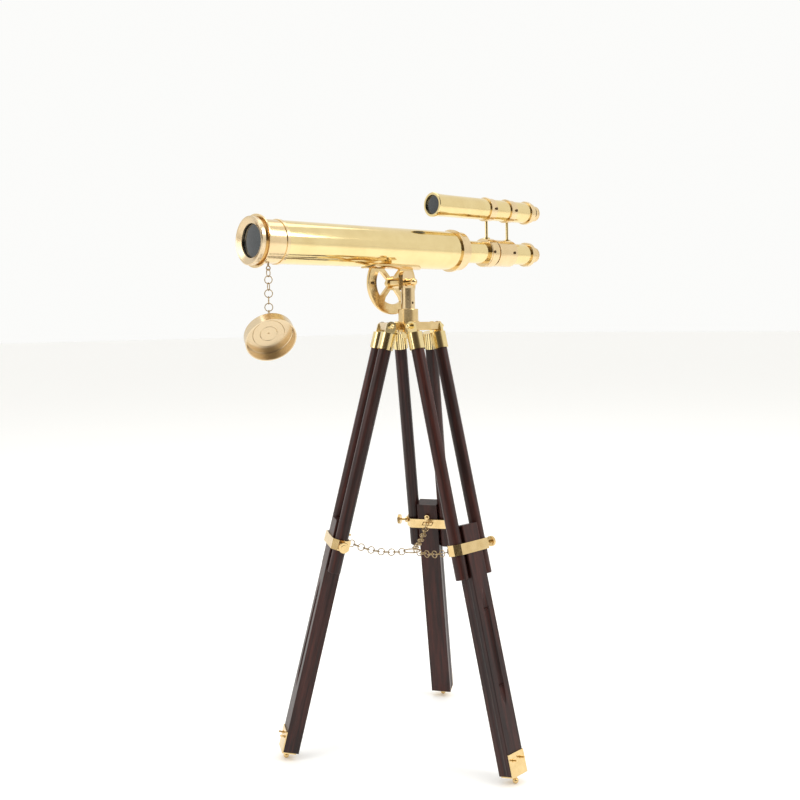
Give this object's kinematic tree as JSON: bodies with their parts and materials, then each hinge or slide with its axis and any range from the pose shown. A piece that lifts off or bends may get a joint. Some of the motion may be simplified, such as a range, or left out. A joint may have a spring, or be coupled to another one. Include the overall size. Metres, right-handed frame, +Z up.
{
  "type": "telescope on tripod",
  "caption": "Double-barrel brass refracting telescope with a finder and hanging lens cap, on an altitude wheel and pillar over a folding wooden tripod with sliding legs.",
  "frame": {"origin": "on the floor under the pillar axis", "axes": "+Z up along the pillar; the barrels run along Y with the objectives towards -Y and the eyepieces towards +Y"},
  "size_m": [0.2532, 0.4601, 0.6475],
  "materials": {
    "polished_brass": "polished, bright",
    "chain_brass": "satin, slightly aged",
    "dark_screws": "blackened",
    "rosewood": "dark, semi-gloss, open grain",
    "glass": "coated, dark"
  },
  "bodies": {
    "head": {"tripod_head": "polished_brass", "hinge_bolts": "polished_brass"},
    "pillar": {"pillar": "polished_brass", "pillar_set_screw": "dark_screws", "spindle_nut": "polished_brass"},
    "telescope": {"altitude_wheel": "polished_brass", "tube_saddle": "polished_brass", "pivot_bolt": "polished_brass", "main_tube": "polished_brass", "objective_cell": "polished_brass", "objective_ring": "polished_brass", "objective_lens": "glass", "rear_cap": "polished_brass", "narrow_tube": "polished_brass", "collar_front": "polished_brass", "collar_rear": "polished_brass", "fixing_screws": "dark_screws", "finder_posts": "polished_brass", "finder_tube": "polished_brass", "finder_lens": "glass", "finder_collars": "polished_brass", "cap_eyelet": "chain_brass"},
    "pivot_nut": {"pivot_nut": "polished_brass"},
    "main_focus": {"main_draw_tube": "polished_brass", "main_eyepiece": "polished_brass", "main_eye_lens": "glass"},
    "main_shutter": {"main_shutter": "polished_brass"},
    "finder_focus": {"finder_eyepiece": "polished_brass", "finder_eye_lens": "glass"},
    "finder_shutter": {"finder_shutter": "polished_brass"},
    "cap_chain": {"cap_chain": "chain_brass"},
    "lens_cap": {"lens_cap": "polished_brass"},
    "leg_a": {"dowel_left_a": "rosewood", "dowel_right_a": "rosewood", "ferrules_a": "polished_brass", "clamp_band_a": "polished_brass"},
    "plank_a": {"plank_a": "rosewood", "foot_bracket_a": "polished_brass", "foot_fittings_a": "polished_brass"},
    "clamp_screw_a": {"clamp_screw_a": "polished_brass"},
    "strand_a": {"strand_a": "chain_brass", "central_ring": "chain_brass"},
    "leg_b": {"dowel_left_b": "rosewood", "dowel_right_b": "rosewood", "ferrules_b": "polished_brass", "clamp_band_b": "polished_brass"},
    "plank_b": {"plank_b": "rosewood", "foot_bracket_b": "polished_brass", "foot_fittings_b": "polished_brass"},
    "clamp_screw_b": {"clamp_screw_b": "polished_brass"},
    "strand_b": {"strand_b": "chain_brass"},
    "leg_c": {"dowel_left_c": "rosewood", "dowel_right_c": "rosewood", "ferrules_c": "polished_brass", "clamp_band_c": "polished_brass"},
    "plank_c": {"plank_c": "rosewood", "foot_bracket_c": "polished_brass", "foot_fittings_c": "polished_brass"},
    "clamp_screw_c": {"clamp_screw_c": "polished_brass"},
    "strand_c": {"strand_c": "chain_brass"}
  },
  "joints": [
    {"name": "azimuth", "type": "hinge", "parent": "head", "child": "pillar", "pos_m": [0, 0, 0.49], "axis": [0, 0, 1], "continuous": true},
    {"name": "altitude", "type": "hinge", "parent": "pillar", "child": "telescope", "pos_m": [-0.029, 0, 0.534], "axis": [-1, 0, 0], "range_deg": [-30, 60]},
    {"name": "pivot_nut_turn", "type": "hinge", "parent": "telescope", "child": "pivot_nut", "pos_m": [0.0098, 0, 0.534], "axis": [1, 0, 0], "range_deg": [0, 270]},
    {"name": "main_focus_slide", "type": "slide", "parent": "telescope", "child": "main_focus", "axis": [0, 1, 0], "range_m": [-0.026, 0.02]},
    {"name": "main_shutter_swing", "type": "hinge", "parent": "main_focus", "child": "main_shutter", "pos_m": [-0.023, 0.2482, 0.5724], "axis": [0, 1, 0], "range_deg": [0, 70]},
    {"name": "finder_focus_slide", "type": "slide", "parent": "telescope", "child": "finder_focus", "axis": [0, 1, 0], "range_m": [0, 0.02]},
    {"name": "finder_shutter_swing", "type": "hinge", "parent": "finder_focus", "child": "finder_shutter", "pos_m": [-0.023, 0.2508, 0.6284], "axis": [0, 1, 0], "range_deg": [0, 70]},
    {"name": "cap_chain_swing", "type": "hinge", "parent": "telescope", "child": "cap_chain", "pos_m": [-0.029, -0.1735, 0.5452], "axis": [-1, 0, 0], "range_deg": [-60, 30]},
    {"name": "lens_cap_swing", "type": "hinge", "parent": "cap_chain", "child": "lens_cap", "pos_m": [-0.029, -0.1735, 0.48675], "axis": [0.304, 0.9527, 0], "range_deg": [-15, 40]},
    {"name": "leg_a_fold", "type": "hinge", "parent": "head", "child": "leg_a", "pos_m": [0.02645, 0.00157, 0.483], "axis": [-0.0593, 0.9982, 0], "range_deg": [0, 12]},
    {"name": "plank_a_slide", "type": "slide", "parent": "leg_a", "child": "plank_a", "axis": [-0.244, -0.0145, 0.9697], "range_m": [0, 0.19]},
    {"name": "clamp_screw_a_turn", "type": "hinge", "parent": "leg_a", "child": "clamp_screw_a", "pos_m": [0.08551, 0.04215, 0.23962], "axis": [-0.0593, 0.9982, 0], "range_deg": [0, 360]},
    {"name": "strand_a_swing", "type": "hinge", "parent": "leg_a", "child": "strand_a", "pos_m": [0.07357, 0.00437, 0.23605], "axis": [-0.0593, 0.9982, 0], "range_deg": [-78, 0]},
    {"name": "leg_b_fold", "type": "hinge", "parent": "head", "child": "leg_b", "pos_m": [-0.01459, 0.02212, 0.483], "axis": [-0.8348, -0.5505, 0], "range_deg": [0, 12]},
    {"name": "plank_b_slide", "type": "slide", "parent": "leg_b", "child": "plank_b", "axis": [0.1346, -0.2041, 0.9697], "range_m": [0, 0.19]},
    {"name": "clamp_screw_b_turn", "type": "hinge", "parent": "leg_b", "child": "clamp_screw_b", "pos_m": [-0.07925, 0.05298, 0.23962], "axis": [-0.8348, -0.5505, 0], "range_deg": [0, 360]},
    {"name": "strand_b_swing", "type": "hinge", "parent": "leg_b", "child": "strand_b", "pos_m": [-0.04057, 0.06153, 0.23605], "axis": [-0.8348, -0.5505, 0], "range_deg": [-78, 0]},
    {"name": "leg_c_fold", "type": "hinge", "parent": "head", "child": "leg_c", "pos_m": [-0.01187, -0.0237, 0.483], "axis": [0.8942, -0.4478, 0], "range_deg": [0, 12]},
    {"name": "plank_c_slide", "type": "slide", "parent": "leg_c", "child": "plank_c", "axis": [0.1095, 0.2186, 0.9697], "range_m": [0, 0.19]},
    {"name": "clamp_screw_c_turn", "type": "hinge", "parent": "leg_c", "child": "clamp_screw_c", "pos_m": [-0.00626, -0.09513, 0.23962], "axis": [0.8942, -0.4478, 0], "range_deg": [0, 360]},
    {"name": "strand_c_swing", "type": "hinge", "parent": "leg_c", "child": "strand_c", "pos_m": [-0.033, -0.0659, 0.23605], "axis": [0.8942, -0.4478, 0], "range_deg": [-78, 0]}
  ],
  "couplings": [
    {"joint": "cap_chain_swing", "follows": "altitude", "ratio": -1},
    {"joint": "strand_a_swing", "follows": "leg_a_fold", "ratio": -6.5},
    {"joint": "strand_b_swing", "follows": "leg_b_fold", "ratio": -6.5},
    {"joint": "strand_c_swing", "follows": "leg_c_fold", "ratio": -6.5}
  ]
}
